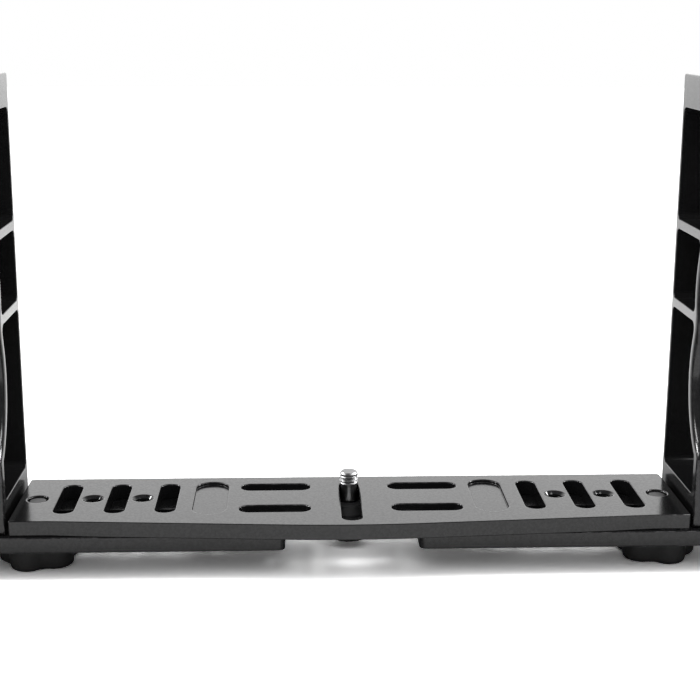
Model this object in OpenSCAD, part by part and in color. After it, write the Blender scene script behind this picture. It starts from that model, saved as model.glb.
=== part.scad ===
// Width-adjustable camera tray with two grooved handles, standing on its two clamping knobs.
// X runs along the tray, +Y to the back, +Z up; the origin is under the middle, on the floor.

/* [Tray plate] */
// Length of the tray plate
tray_length = 213; // [200:1:230]
// Thickness of the tray plate
tray_thickness = 5; // [4:0.5:7]
// Depth of the tray, back to front, at its two ends
tray_end_depth = 40.5; // [38:0.5:42]
// Depth of the tray at its middle, where the front edge bows out
tray_middle_depth = 46.4; // [44:0.2:50]
// Length of the straight part of the front edge at each end
tray_end_flat = 12; // [6:1:20]
// Half the length of the curved middle of the front edge
tray_bow_half = 22; // [15:1:30]
// Radius of the tray's two front corners
tray_front_radius = 0.5; // [0.4:0.1:4]
// Radius of the tray's two back corners
tray_back_radius = 1.2; // [0.4:0.1:4]

/* [Slots and holes] */
// Width of every slot, for a quarter-inch screw
slot_width = 6.5; // [6.4:0.1:7]
// Depth from the back edge to the line through the cross slots and tapped holes
centre_line_depth = 20; // [19:0.5:21]
// Overall length of a cross slot
cross_slot_length = 27.2; // [22:0.2:30]
// Distance from the middle to the nearest cross slot
cross_slot_start = 59.05; // [57:0.05:61]
// Distance from one cross slot to the next
cross_slot_pitch = 16; // [15:0.5:17]
// Overall length of a long slot
long_slot_length = 22.8; // [18:0.2:26]
// Distance from the middle to the centre of a long slot
long_slot_offset = 24.25; // [22:0.05:26]
// Depth from the back edge to the rear long slots
rear_long_slot_depth = 10.2; // [9:0.1:11]
// Depth from the back edge to the front long slots
front_long_slot_depth = 30.9; // [29:0.1:33]
// Depth from the back edge to the camera screw at rest
camera_screw_depth = 9.1; // [9:0.1:12]
// How far the camera screw slides towards the front
camera_screw_travel = 30; // [20:1:32]
// Tapping drill diameter of a quarter-inch thread
tap_diameter = 5.1; // [5:0.05:5.6]
// Diameter of the countersink round a tapped hole
tap_countersink_diameter = 7; // [6.4:0.1:7.4]
// Distance from the middle to the stud hole near each end
stud_hole_offset = 100.8; // [99:0.1:102]
// Distance from the middle to the centre of each shallow recess
recess_offset = 45.1; // [44:0.1:46]
// Width of a shallow recess
recess_width = 10.7; // [8:0.1:12]
// Overall length of a shallow recess
recess_length = 30.6; // [26:0.2:32]
// How deep the shallow recess is cut
recess_cut = 2; // [1:0.5:3]

/* [Arm plates] */
// Thickness of the arm plates under the tray
arm_thickness = 5; // [4:0.5:7]
// Depth of the arm plates, back to front
arm_depth = 42; // [40:0.5:43]
// Distance from the middle to the inner end of an arm plate
arm_inner_end = 21; // [16:1:26]
// Radius of the arm plate's corners in plan
arm_corner_radius = 2; // [1:0.5:5]
// How far each handle slides outwards
arm_travel = 60; // [40:5:65]
// Width of the arm plate's slot
arm_slot_width = 6.6; // [6.5:0.1:7]

/* [Handles] */
// Gap between the tray's end and the handle
handle_gap = 1.1; // [0.6:0.1:2]
// Width of a handle, the length its section is sawn to
handle_width = 26; // [22:1:32]
// Height of a handle
handle_height = 139.5; // [132:0.5:145]
// Depth of a handle at its foot and head
handle_depth = 39.5; // [38:0.5:41]
// Radius of the finger grooves
groove_radius = 31; // [28:1:34]
// Height of the lowest groove's middle above the handle's foot
groove_start = 48; // [46:1:50]
// Distance from one groove to the next
groove_pitch = 27; // [26:0.5:28]
// Depth of the handle at the bottom of its lowest groove
groove_depth = 28.5; // [27:0.5:30]
// How much deeper the handle is at each groove above
groove_step = 1.7; // [1:0.1:2]
// Radius of the soft ridges between the grooves
ridge_radius = 24; // [12:1:30]
// Radius of the corners where the grip meets its foot and head
grip_corner_radius = 5; // [4.5:0.5:7]
// Rounding along the grip's front edges
grip_rounding = 2.5; // [1:0.5:3]
// Thickness of the grip's front wall
front_wall = 3.5; // [3:0.25:4.25]
// Thickness of the grip's back wall
back_wall = 1.8; // [1.5:0.1:3]
// Thickness of the ribs between the windows
rib_thickness = 3; // [2:0.5:4]
// Height of the lower rib's top above the handle's foot
lower_rib_top = 67; // [65:0.5:69]
// Height of the upper rib's top above the handle's foot
upper_rib_top = 93; // [91:0.5:95]
// Height of the foot block below the lowest window
foot_block = 10.2; // [9:0.1:12]
// Height of the head block above the highest window
head_block = 10.5; // [10:0.1:13]
// Radius of the windows' corners
window_radius = 2.2; // [1:0.1:3]

/* [Handle screws] */
// Diameter of the countersunk screws that hold a handle
handle_screw_diameter = 5; // [4:1:5]
// Head diameter of these screws
handle_screw_head = 9.6; // [8:0.1:10]
// Length of these screws
handle_screw_length = 12; // [10:1:14]
// Distance between the two screws of a handle
handle_screw_spacing = 22; // [20:1:24]

/* [Knobs] */
// Number of lobes on a clamping knob
knob_lobes = 5; // [5:1:7]
// Radius to the middle of the lobes' wave
knob_radius = 12.2; // [12:0.05:13.5]
// Height of the lobes' wave, each way
knob_wave = 1.2; // [0.8:0.05:1.5]
// Height of a second wave that narrows the valleys between the lobes
knob_valley = 0.15; // [0:0.05:0.3]
// Height of the knob's lobed body
knob_height = 8.7; // [7:0.1:9]
// Rounding of the knob's rims
knob_rounding = 1.6; // [1:0.1:2.5]
// Diameter of the knob's raised hub
hub_diameter = 17; // [15:0.5:19]
// Height of the hub above the lobes
hub_height = 0.8; // [0.4:0.1:1.2]
// Diameter of the washer on the hub
washer_diameter = 16; // [14:0.5:18]
// Thickness of the washers
washer_thickness = 0.8; // [0.6:0.1:1]
// Width across flats of the knob bolt's hexagon head
bolt_head_flats = 11.1; // [10:0.1:11.2]
// Height of the knob bolt's head
bolt_head_height = 4; // [3:0.5:5]
// How far the bolt's end stays below the tray's top face
bolt_end_gap = 0.5; // [0.3:0.1:2]

/* [Camera screw] */
// Diameter of the quarter-inch thread
screw_diameter = 6.35; // [6.3:0.05:6.35]
// How far the camera screw stands above the tray
camera_thread_height = 5; // [4:0.5:6]
// Diameter of the undercut shank below the camera screw's thread
camera_shank_diameter = 5.2; // [4.6:0.1:5.4]
// Diameter of the camera screw's knurled head
camera_head_diameter = 13.4; // [12:0.1:15]
// Height of the knurled part of the head
camera_knurl_height = 8.2; // [7:0.1:9]
// Height of the neck between the knurled part and the washer
camera_neck_height = 3.7; // [3:0.1:4]
// Number of flutes of the knurl
camera_knurl_flutes = 36; // [24:1:48]
// Diameter of the neck
camera_neck_diameter = 10; // [9:0.5:12]
// Diameter of the camera screw's washer
camera_washer_diameter = 12.6; // [11:0.1:14]

/* [Hidden] */
$fn = 48;

// Heights above the floor, from the knobs up to the handle's head
washer_z = knob_height + hub_height;
arm_z = washer_z + washer_thickness;
tray_z = arm_z + arm_thickness;
tray_top_z = tray_z + tray_thickness;
camera_washer_z = tray_z - washer_thickness;
camera_neck_z = camera_washer_z - camera_neck_height;
camera_knurl_z = camera_neck_z - camera_knurl_height;

// Depths are measured from the back edge towards the front, so y is back_y minus the depth
back_y = tray_middle_depth / 2;
half_tray = tray_length / 2;
handle_inner_x = half_tray + handle_gap;
handle_middle_x = handle_inner_x + handle_width / 2;
handle_outer_x = handle_inner_x + handle_width;
handle_screw_head_height = (handle_screw_head - handle_screw_diameter) / 2;
cut_through = 1;
overlap = 0.01;
screw_clearance = 0.03;
press_clearance = 0.02;
bolt_bore_clearance = 0.075;
bolt_bore_radius = screw_diameter / 2 + bolt_bore_clearance;
bolt_pocket_depth = 5.2;
stud_hole_chamfer = 0.5;
thread_point = 0.6;
thread_start = 0.5;
camera_socket_floor = 1.5;

// The tray's front edge: straight ends, sloping shoulders and an arc between the slopes
slope_rise = tray_middle_depth - tray_end_depth;
slope_run = half_tray - tray_end_flat - tray_bow_half;
bow_angle = atan(slope_rise / (slope_run + tray_bow_half * 0.5));
bow_radius = tray_bow_half / sin(bow_angle);
bow_centre_depth = tray_middle_depth - bow_radius;
bow_steps = 12;

function bow_point(angle) = [
    bow_radius * sin(angle),
    back_y - bow_centre_depth - bow_radius * cos(angle)
];

function corner_arc(centre, radius, from_angle, to_angle, steps) = [
    for (k = [0:steps])
    let (a = from_angle + (to_angle - from_angle) * k / steps)
    [centre[0] + radius * cos(a), centre[1] + radius * sin(a)]
];

function tray_outline() = concat(
    corner_arc([-half_tray + tray_front_radius, back_y - tray_end_depth + tray_front_radius],
        tray_front_radius, 180, 270, 4),
    [[-half_tray + tray_end_flat, back_y - tray_end_depth]],
    [for (k = [0:bow_steps]) bow_point(-bow_angle + 2 * bow_angle * k / bow_steps)],
    [[half_tray - tray_end_flat, back_y - tray_end_depth]],
    corner_arc([half_tray - tray_front_radius, back_y - tray_end_depth + tray_front_radius],
        tray_front_radius, 270, 360, 4),
    corner_arc([half_tray - tray_back_radius, back_y - tray_back_radius],
        tray_back_radius, 0, 90, 4),
    corner_arc([-half_tray + tray_back_radius, back_y - tray_back_radius],
        tray_back_radius, 90, 180, 4)
);

// The grip's front outline is a chain of tangent circles, each [depth, height]
groove_centres = [for (k = [0:2]) [groove_depth + k * groove_step + groove_radius,
    groove_start + k * groove_pitch]];

function corner_height(groove, side) =
    let (reach = groove_radius + grip_corner_radius,
        offset = groove[0] - (handle_depth - grip_corner_radius))
    groove[1] + side * sqrt(reach * reach - offset * offset);

function ridge_centre(a, b) =
    let (half = norm(b - a) / 2,
        away = sqrt(pow(groove_radius + ridge_radius, 2) - half * half),
        along = (b - a) / (2 * half))
    (a + b) / 2 + away * [-along[1], along[0]];

grip_centres = [
    [handle_depth - grip_corner_radius, corner_height(groove_centres[0], -1)],
    groove_centres[0],
    ridge_centre(groove_centres[0], groove_centres[1]),
    groove_centres[1],
    ridge_centre(groove_centres[1], groove_centres[2]),
    groove_centres[2],
    [handle_depth - grip_corner_radius, corner_height(groove_centres[2], 1)]
];
grip_radii = [grip_corner_radius, -groove_radius, ridge_radius, -groove_radius,
    ridge_radius, -groove_radius, grip_corner_radius];
grip_steps = [5, 12, 6, 12, 6, 12, 5];
grip_last = len(grip_centres) - 1;

// Direction from circle k towards circle j, kept between 90 and 270 degrees for a groove
function towards(k, j) =
    let (a = atan2(grip_centres[j][1] - grip_centres[k][1],
            grip_centres[j][0] - grip_centres[k][0]))
    grip_radii[k] < 0 ? (a + 360) % 360 : a;

// Rounding is full along the grip and fades to its least share at the foot and the head
rounding_fade = 8;
rounding_reach = 2;
least_rounding = 0.2;
function rounding_share(height) =
    let (low = (height - grip_centres[0][1] + rounding_reach) / rounding_fade,
        high = (grip_centres[grip_last][1] + rounding_reach - height) / rounding_fade,
        share = max(0, min(1, min(low, high))))
    least_rounding + (1 - least_rounding) * share * share * (3 - 2 * share);

function grip_point(k, a, inset) =
    let (size = abs(grip_radii[k]) - sign(grip_radii[k]) * inset)
    grip_centres[k] + size * [cos(a), sin(a)];

// Every point of the front outline as [circle, angle]
grip_places = [
    for (k = [0:grip_last])
    let (a0 = k == 0 ? 0 : towards(k, k - 1),
        a1 = k == grip_last ? 0 : towards(k, k + 1),
        last = k == grip_last ? grip_steps[k] : grip_steps[k] - 1)
    for (j = [0:last])
    [k, a0 + (a1 - a0) * j / grip_steps[k]]
];
grip_shares = [for (g = grip_places) rounding_share(grip_point(g[0], g[1], 0)[1])];

// The whole outline of a handle's section, moved in by each point's share of inset
top_corner_radius = 3;
top_corner_steps = 4;
function handle_outline(inset) =
    let (edge = inset * least_rounding)
    concat(
        [[edge, edge], [handle_depth - edge, edge]],
        [for (j = [0:len(grip_places) - 1])
            grip_point(grip_places[j][0], grip_places[j][1], inset * grip_shares[j])],
        corner_arc([handle_depth - top_corner_radius, handle_height - top_corner_radius],
            top_corner_radius - edge, 0, 90, top_corner_steps),
        [[edge, handle_height - edge]]
    );
handle_shares = concat([least_rounding, least_rounding], grip_shares,
    [for (j = [0:top_corner_steps + 1]) least_rounding]);
ring_size = len(handle_shares);

// Distances across the handle and insets that round its two long edges
edge_steps = 3;
edge_levels = [
    for (k = [0:edge_steps])
    let (a = 90 * k / edge_steps)
    grip_rounding * [1 - cos(a), 1 - sin(a)]
];

// Places the point [depth, height] of a handle's section at x from its inner face
function handle_point(x, p) = [handle_inner_x + x, back_y - p[0], tray_z + p[1]];

function skin_ring(level, outer) =
    let (outline = handle_outline(level[1]))
    [for (j = [0:ring_size - 1])
        let (across = level[0] * handle_shares[j])
        handle_point(outer ? handle_width - across : across, outline[j])];
handle_rings = concat(
    [for (level = edge_levels) skin_ring(level, false)],
    [for (k = [edge_steps:-1:0]) skin_ring(edge_levels[k], true)]
);
ring_count = len(handle_rings);

// Front edge of a window between two heights, with its corners rounded by arcs
function window_outline(low, high) =
    let (front = [for (g = grip_places)
            let (p = grip_point(g[0], g[1], front_wall))
            if (p[1] > low + window_radius && p[1] < high - window_radius) p],
        start = low + window_radius < grip_centres[0][1]
            ? handle_depth - front_wall
            : front[0][0],
        finish = front[len(front) - 1][0])
    concat(
        corner_arc([back_wall + window_radius, low + window_radius], window_radius, 180, 270, 4),
        corner_arc([start - window_radius, low + window_radius], window_radius, 270, 360, 4),
        front,
        corner_arc([finish - window_radius, high - window_radius], window_radius, 0, 90, 4),
        corner_arc([back_wall + window_radius, high - window_radius], window_radius, 90, 180, 4)
    );

window_heights = [
    [foot_block, lower_rib_top - rib_thickness],
    [lower_rib_top, upper_rib_top - rib_thickness],
    [upper_rib_top, handle_height - head_block]
];

// One ring of a knob's lobed wall, moved in by inset at height z
knob_steps = 80;
function knob_ring(inset, z) = [
    for (k = [0:knob_steps - 1])
    let (a = 360 * k / knob_steps,
        wave = knob_wave * cos(knob_lobes * a) - knob_valley * cos(2 * knob_lobes * a),
        r = knob_radius + wave - inset)
    [r * cos(a), r * sin(a), z]
];
rim_steps = 4;
knob_rings = concat(
    [for (k = [0:rim_steps])
        let (a = 90 * k / rim_steps)
        knob_ring(knob_rounding * (1 - sin(a)), knob_rounding * (1 - cos(a)))],
    [for (k = [rim_steps:-1:0])
        let (a = 90 * k / rim_steps)
        knob_ring(knob_rounding * (1 - sin(a)), knob_height - knob_rounding * (1 - cos(a)))]
);

knurl_depth = 0.35;
function knurl_outline(radius) = [
    for (k = [0:2 * camera_knurl_flutes - 1])
    let (a = 180 * k / camera_knurl_flutes, r = radius - knurl_depth * (k % 2))
    [r * cos(a), r * sin(a)]
];

module slot_cut(length, width, low, high) {
    half = (length - width) / 2;
    translate([-half, -width / 2, low]) cube([2 * half, width, high - low]);
    for (side = [-1, 1])
        translate([side * half, 0, low]) cylinder(d = width, h = high - low);
}

module tapped_hole_cut(low, high) {
    rim = (tap_countersink_diameter - tap_diameter) / 2;
    translate([0, 0, low - cut_through])
        cylinder(d = tap_diameter, h = high - low + 2 * cut_through);
    translate([0, 0, high - rim])
        cylinder(d1 = tap_diameter, d2 = tap_countersink_diameter + 2 * overlap,
            h = rim + overlap);
}

module at(x, depth, z = 0) {
    translate([x, back_y - depth, z]) children();
}

module tray_plate() {
    below = tray_z - cut_through;
    above = tray_top_z + cut_through;
    screw_slot_length = camera_screw_travel + slot_width;
    color("#3a3a3c")
    difference() {
        translate([0, 0, tray_z]) linear_extrude(tray_thickness) polygon(tray_outline());
        for (side = [-1, 1]) {
            for (k = [0:2])
                at(side * (cross_slot_start + k * cross_slot_pitch), centre_line_depth)
                    rotate([0, 0, 90]) slot_cut(cross_slot_length, slot_width, below, above);
            for (k = [0:1])
                at(side * (cross_slot_start + (k + 0.5) * cross_slot_pitch), centre_line_depth)
                    tapped_hole_cut(tray_z, tray_top_z);
            for (depth = [rear_long_slot_depth, front_long_slot_depth])
                at(side * long_slot_offset, depth)
                    slot_cut(long_slot_length, slot_width, below, above);
            at(side * recess_offset, centre_line_depth)
                rotate([0, 0, 90])
                    slot_cut(recess_length, recess_width, tray_top_z - recess_cut, above);
            at(side * stud_hole_offset, centre_line_depth, below)
                cylinder(r = bolt_bore_radius, h = tray_thickness + 2 * cut_through);
            at(side * stud_hole_offset, centre_line_depth, tray_top_z - stud_hole_chamfer)
                cylinder(r1 = bolt_bore_radius,
                    r2 = bolt_bore_radius + stud_hole_chamfer + overlap,
                    h = stud_hole_chamfer + overlap);
        }
        at(0, camera_screw_depth + camera_screw_travel / 2)
            rotate([0, 0, 90]) slot_cut(screw_slot_length, slot_width, below, above);
    }
}

module arm_plate() {
    head_room = 0.25;
    r = arm_corner_radius;
    low = arm_inner_end;
    high = handle_outer_x;
    front = back_y - arm_depth;
    outline = concat(
        corner_arc([low + r, front + r], r, 180, 270, 4),
        corner_arc([high - r, front + r], r, 270, 360, 4),
        corner_arc([high - r, back_y - r], r, 0, 90, 4),
        corner_arc([low + r, back_y - r], r, 90, 180, 4)
    );
    difference() {
        translate([0, 0, arm_z]) linear_extrude(arm_thickness) polygon(outline);
        at(stud_hole_offset - arm_travel / 2, centre_line_depth)
            slot_cut(arm_travel + arm_slot_width, arm_slot_width, arm_z - cut_through,
                tray_z + cut_through);
        for (side = [-1, 1])
            at(handle_middle_x, centre_line_depth + side * handle_screw_spacing / 2, arm_z) {
                translate([0, 0, -cut_through])
                    cylinder(r = handle_screw_diameter / 2 + screw_clearance,
                        h = arm_thickness + 2 * cut_through);
                translate([0, 0, -overlap])
                    cylinder(r1 = handle_screw_head / 2 + head_room,
                        r2 = handle_screw_diameter / 2 + screw_clearance,
                        h = handle_screw_head_height + head_room);
            }
    }
}

// Each cap is two faces, so that every point of a face is seen from its first corner
module handle_body() {
    points = [for (ring = handle_rings) for (p = ring) p];
    sides = [for (k = [0:ring_count - 2]) for (j = [0:ring_size - 1])
        let (a = k * ring_size + j, b = k * ring_size + (j + 1) % ring_size)
        [a, b, b + ring_size, a + ring_size]];
    middle = floor(ring_size / 2);
    top = ring_size - 1;
    last_ring = (ring_count - 1) * ring_size;
    inner_caps = [
        concat([0], [for (j = [middle:-1:1]) j]),
        concat([for (j = [top:-1:middle]) j], [0])
    ];
    outer_caps = [
        [for (j = [0:middle]) last_ring + j],
        concat([last_ring + top, last_ring], [for (j = [middle:top - 1]) last_ring + j])
    ];
    polyhedron(points, concat(sides, inner_caps, outer_caps), convexity = 6);
}

module handle() {
    spare_depth = 1.5;
    screw_depth = handle_screw_length - arm_thickness + spare_depth;
    head_top_z = tray_z + handle_height;
    difference() {
        handle_body();
        for (window = window_heights)
            translate([handle_inner_x - cut_through, back_y, tray_z])
                rotate([90, 0, 90]) mirror([1, 0, 0])
                    linear_extrude(handle_width + 2 * cut_through)
                        polygon(window_outline(window[0], window[1]));
        for (side = [-1, 1])
            at(handle_middle_x, centre_line_depth + side * handle_screw_spacing / 2,
                tray_z - cut_through)
                cylinder(r = handle_screw_diameter / 2 + screw_clearance,
                    h = screw_depth + cut_through);
        at(handle_middle_x, centre_line_depth)
            tapped_hole_cut(head_top_z - head_block - cut_through, head_top_z);
    }
}

module handle_screw() {
    socket_flats = 3;
    socket_depth = 2.2;
    head_sink = 0.1;
    point = 0.5;
    at(handle_middle_x, centre_line_depth, arm_z + head_sink)
    difference() {
        union() {
            cylinder(d1 = handle_screw_head, d2 = handle_screw_diameter,
                h = handle_screw_head_height);
            cylinder(d = handle_screw_diameter, h = handle_screw_length - point);
            translate([0, 0, handle_screw_length - point])
                cylinder(d1 = handle_screw_diameter, d2 = handle_screw_diameter - 2 * point,
                    h = point);
        }
        translate([0, 0, -cut_through])
            cylinder(d = socket_flats / cos(30), h = socket_depth + cut_through, $fn = 6);
    }
}

module knob_body() {
    points = [for (ring = knob_rings) for (p = ring) p];
    last_ring = (len(knob_rings) - 1) * knob_steps;
    sides = [for (k = [0:len(knob_rings) - 2]) for (j = [0:knob_steps - 1])
        let (a = k * knob_steps + j, b = k * knob_steps + (j + 1) % knob_steps)
        [a, a + knob_steps, b + knob_steps, b]];
    bottom = [[for (j = [0:knob_steps - 1]) j]];
    top = [[for (j = [knob_steps - 1:-1:0]) last_ring + j]];
    polyhedron(points, concat(sides, bottom, top), convexity = 4);
}

module knob() {
    pocket_flats = bolt_head_flats + 2 * press_clearance;
    difference() {
        union() {
            knob_body();
            cylinder(d = hub_diameter, h = washer_z);
        }
        translate([0, 0, -cut_through])
            cylinder(d = pocket_flats / cos(30), h = bolt_pocket_depth + cut_through, $fn = 6);
        translate([0, 0, -cut_through])
            cylinder(r = screw_diameter / 2 + press_clearance, h = washer_z + 2 * cut_through);
    }
}

module knob_bolt() {
    point_z = tray_top_z - bolt_end_gap - thread_point;
    head_z = bolt_pocket_depth - bolt_head_height;
    translate([0, 0, head_z])
        cylinder(d = bolt_head_flats / cos(30), h = bolt_head_height, $fn = 6);
    translate([0, 0, head_z + bolt_head_height / 2])
        cylinder(d = screw_diameter, h = point_z - head_z - bolt_head_height / 2);
    translate([0, 0, point_z])
        cylinder(d1 = screw_diameter, d2 = screw_diameter - 2 * thread_point,
            h = thread_point);
}

module ring(outer, inner, height) {
    difference() {
        cylinder(d = outer, h = height);
        translate([0, 0, -cut_through]) cylinder(d = inner, h = height + 2 * cut_through);
    }
}

module on_left() {
    mirror([1, 0, 0]) children();
}

module at_stud() {
    at(stud_hole_offset, centre_line_depth) children();
}

module left_arm_plate() {
    color("#3a3a3c") on_left() arm_plate();
}

module right_arm_plate() {
    color("#3a3a3c") arm_plate();
}

module left_handle() {
    color("#404042") on_left() handle();
}

module right_handle() {
    color("#404042") handle();
}

module left_handle_screw_front() {
    color("#2a2a2c") on_left() translate([0, -handle_screw_spacing / 2, 0]) handle_screw();
}

module left_handle_screw_rear() {
    color("#2a2a2c") on_left() translate([0, handle_screw_spacing / 2, 0]) handle_screw();
}

module right_handle_screw_front() {
    color("#2a2a2c") translate([0, -handle_screw_spacing / 2, 0]) handle_screw();
}

module right_handle_screw_rear() {
    color("#2a2a2c") translate([0, handle_screw_spacing / 2, 0]) handle_screw();
}

knob_turn = -69;

module left_knob() {
    color("#202021") on_left() at_stud() rotate([0, 0, knob_turn]) knob();
}

module right_knob() {
    color("#202021") at_stud() rotate([0, 0, knob_turn]) knob();
}

module left_knob_bolt() {
    color("#2a2a2c") on_left() at_stud() rotate([0, 0, knob_turn]) knob_bolt();
}

module right_knob_bolt() {
    color("#2a2a2c") at_stud() rotate([0, 0, knob_turn]) knob_bolt();
}

module left_knob_washer() {
    color("#7d7d80") on_left() at_stud() translate([0, 0, washer_z])
        ring(washer_diameter, 2 * bolt_bore_radius, washer_thickness);
}

module right_knob_washer() {
    color("#7d7d80") at_stud() translate([0, 0, washer_z])
        ring(washer_diameter, 2 * bolt_bore_radius, washer_thickness);
}

module camera_screw_shank() {
    low = camera_knurl_z + camera_socket_floor;
    thread_z = tray_top_z + thread_start;
    point_z = tray_top_z + camera_thread_height - thread_point;
    color("#8c8c8e") at(0, camera_screw_depth) {
        translate([0, 0, low]) cylinder(d = camera_shank_diameter, h = thread_z - low);
        translate([0, 0, thread_z]) cylinder(d = screw_diameter, h = point_z - thread_z);
        translate([0, 0, point_z])
            cylinder(d1 = screw_diameter, d2 = screw_diameter - 2 * thread_point,
                h = thread_point);
    }
}

module camera_screw_head() {
    edge = 0.6;
    spare = 0.4;
    radius = camera_head_diameter / 2;
    neck_top = camera_knurl_height + camera_neck_height;
    color("#2a2a2c") at(0, camera_screw_depth, camera_knurl_z)
    difference() {
        union() {
            intersection() {
                linear_extrude(camera_knurl_height) polygon(knurl_outline(radius));
                rotate_extrude()
                    polygon([
                        [0, 0], [radius - edge, 0], [radius + spare, edge + spare],
                        [radius + spare, camera_knurl_height - edge - spare],
                        [radius - edge, camera_knurl_height], [0, camera_knurl_height]
                    ]);
            }
            translate([0, 0, camera_knurl_height / 2])
                cylinder(d = camera_neck_diameter, h = neck_top - camera_knurl_height / 2);
        }
        translate([0, 0, camera_socket_floor])
            cylinder(r = camera_shank_diameter / 2 + press_clearance, h = neck_top);
    }
}

module camera_screw_washer() {
    color("#1c1c1e") at(0, camera_screw_depth, camera_washer_z)
        ring(camera_washer_diameter, 2 * bolt_bore_radius, washer_thickness);
}

tray_plate();
left_arm_plate();
right_arm_plate();
left_handle();
right_handle();
left_handle_screw_front();
left_handle_screw_rear();
right_handle_screw_front();
right_handle_screw_rear();
left_knob();
right_knob();
left_knob_bolt();
right_knob_bolt();
left_knob_washer();
right_knob_washer();
camera_screw_shank();
camera_screw_head();
camera_screw_washer();
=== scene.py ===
import math

import bmesh
import bpy
import numpy as np
from mathutils import Matrix, Vector
from mathutils.geometry import tessellate_polygon


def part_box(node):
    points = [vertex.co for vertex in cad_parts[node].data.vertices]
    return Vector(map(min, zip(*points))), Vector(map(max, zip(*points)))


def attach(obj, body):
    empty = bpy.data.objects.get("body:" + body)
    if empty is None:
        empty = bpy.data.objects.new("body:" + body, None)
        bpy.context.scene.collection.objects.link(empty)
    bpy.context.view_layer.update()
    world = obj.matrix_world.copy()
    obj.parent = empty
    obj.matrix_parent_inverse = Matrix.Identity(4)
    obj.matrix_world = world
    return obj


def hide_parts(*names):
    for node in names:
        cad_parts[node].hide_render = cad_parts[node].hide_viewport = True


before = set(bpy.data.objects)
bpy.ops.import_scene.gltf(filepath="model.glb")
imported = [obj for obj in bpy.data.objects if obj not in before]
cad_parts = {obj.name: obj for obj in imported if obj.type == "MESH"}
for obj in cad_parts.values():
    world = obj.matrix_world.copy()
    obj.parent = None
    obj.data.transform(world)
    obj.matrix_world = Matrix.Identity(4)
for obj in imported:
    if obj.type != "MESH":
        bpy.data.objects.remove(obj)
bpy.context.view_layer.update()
print("frame loaded:", len(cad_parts), "nodes")

# Lengths are in millimetres until a mesh is made. X runs along the tray, Y to the back, Z up.
mm = 0.001
sides = {"left": True, "right": False}  # whether a side is the right one's mirror image
meshing = {
    "weld": 0.002,  # points closer than this become one
    "sharpAngle": 38,  # degrees between two faces at which an edge stays sharp
    "support": 0.25,  # flat strip kept beside every rounded edge
    "edgeSteps": 4,  # faces across a small rounded edge
    "wornEdge": 0.6,  # edges rounder than this wear less
    "strip": 0.2,  # flat ring kept beside a turned piece's edge
    "around": 96,  # points round a turned piece
    "tiny": 0.01,  # keeps a division from nought
}


def nodeBox(node):
    # Lowest and highest corners of a node of the frame
    low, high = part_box(node)
    return np.array(low) / mm, np.array(high) / mm


trayLow, trayHigh = nodeBox("tray_plate")
armLow, armHigh = nodeBox("right_arm_plate")
handleLow, handleHigh = nodeBox("right_handle")
handleWidth, handleDepth, handleHeight = handleHigh - handleLow
backY = trayHigh[1]
halfTray = trayHigh[0]


def depthY(depth):
    # Depths are measured from the tray's back edge towards the front
    return backY - depth


# Outlines: arrays of points, counter-clockwise, one row for each point

def arc(centre, radius, start, end, steps):
    # Centre plus radius times cosine and sine of evenly spaced angles, given in degrees
    angle = np.radians(np.linspace(start, end, steps + 1))
    return np.asarray(centre) + radius * np.stack([np.cos(angle), np.sin(angle)], axis=1)


def slotOutline(x, y, length, width, alongY=False, steps=16):
    # Two half circles joined by straight lines, turned by a quarter where it runs along Y
    half = (length - width) / 2
    loop = np.concatenate([
        arc((half, 0), width / 2, -90, 90, steps),
        arc((-half, 0), width / 2, 90, 270, steps),
    ])
    if alongY:
        loop = np.stack([-loop[:, 1], loop[:, 0]], axis=1)
    return loop + (x, y)


def softBox(lowU, highU, lowV, highV, r, steps):
    # A rectangle whose corners are quarter circles, from the lowest corner round to the left one
    corners = [(lowU, lowV), (highU, lowV), (highU, highV), (lowU, highV)]
    inward = [(1, 1), (-1, 1), (-1, -1), (1, -1)]
    return np.concatenate([
        arc(np.array(corner) + r * np.array(into), r, 180 + 90 * k, 270 + 90 * k, steps)
        for k, (corner, into) in enumerate(zip(corners, inward))
    ])


def retreat(loop, distance):
    # Each point moves to the inside along the mean of its two edges' normals, lengthened so
    # that both edges move by the distance; a row of distances gives one outline for each row
    ahead = np.roll(loop, -1, axis=0) - loop
    ahead /= np.linalg.norm(ahead, axis=1)[:, None]
    normal = np.stack([-ahead[:, 1], ahead[:, 0]], axis=1)
    mean = normal + np.roll(normal, 1, axis=0)
    mean /= (mean * normal).sum(axis=1)[:, None]
    return loop + np.asarray(distance)[..., None] * mean


def wallRings(loop, low, high, lowTurn, highTurn, steps=meshing["edgeSteps"]):
    # A wall straight up from an outline that turns over by a quarter circle at each end. A turn is
    # the circle's radius, positive where the wall leans to the inside; it may differ at each point
    angle = np.linspace(0, math.pi / 2, steps + 1)[:, None]
    nothing = np.zeros((1, len(loop)))

    def turnOver(turn):
        # Distance inwards, height and wear of one end's rows, from the flat strip to the wall
        turn = np.broadcast_to(np.asarray(turn, float), (1, len(loop)))
        size = np.abs(turn)
        strip = meshing["support"]
        away = np.concatenate([turn + np.sign(turn) * strip, turn * (1 - np.sin(angle)), nothing])
        along = np.concatenate([nothing, size * (1 - np.cos(angle)), size + strip])
        sharpness = np.minimum(1, meshing["wornEdge"] / np.maximum(size, meshing["tiny"]))
        wear = np.sin(2 * angle) * sharpness
        return away, along, np.concatenate([nothing, wear, nothing])

    awayLow, alongLow, wearLow = turnOver(lowTurn)
    awayHigh, alongHigh, wearHigh = turnOver(highTurn)
    away = np.concatenate([awayLow, awayHigh[::-1]])
    height = np.concatenate([low + alongLow, high - alongHigh[::-1]])
    rings = np.dstack([retreat(loop, away), height])
    return rings, np.concatenate([wearLow, wearHigh[::-1]])


def wallSpan(steps=meshing["edgeSteps"]):
    # Number of the row of faces between a wall's two turns
    return steps + 2


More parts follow.
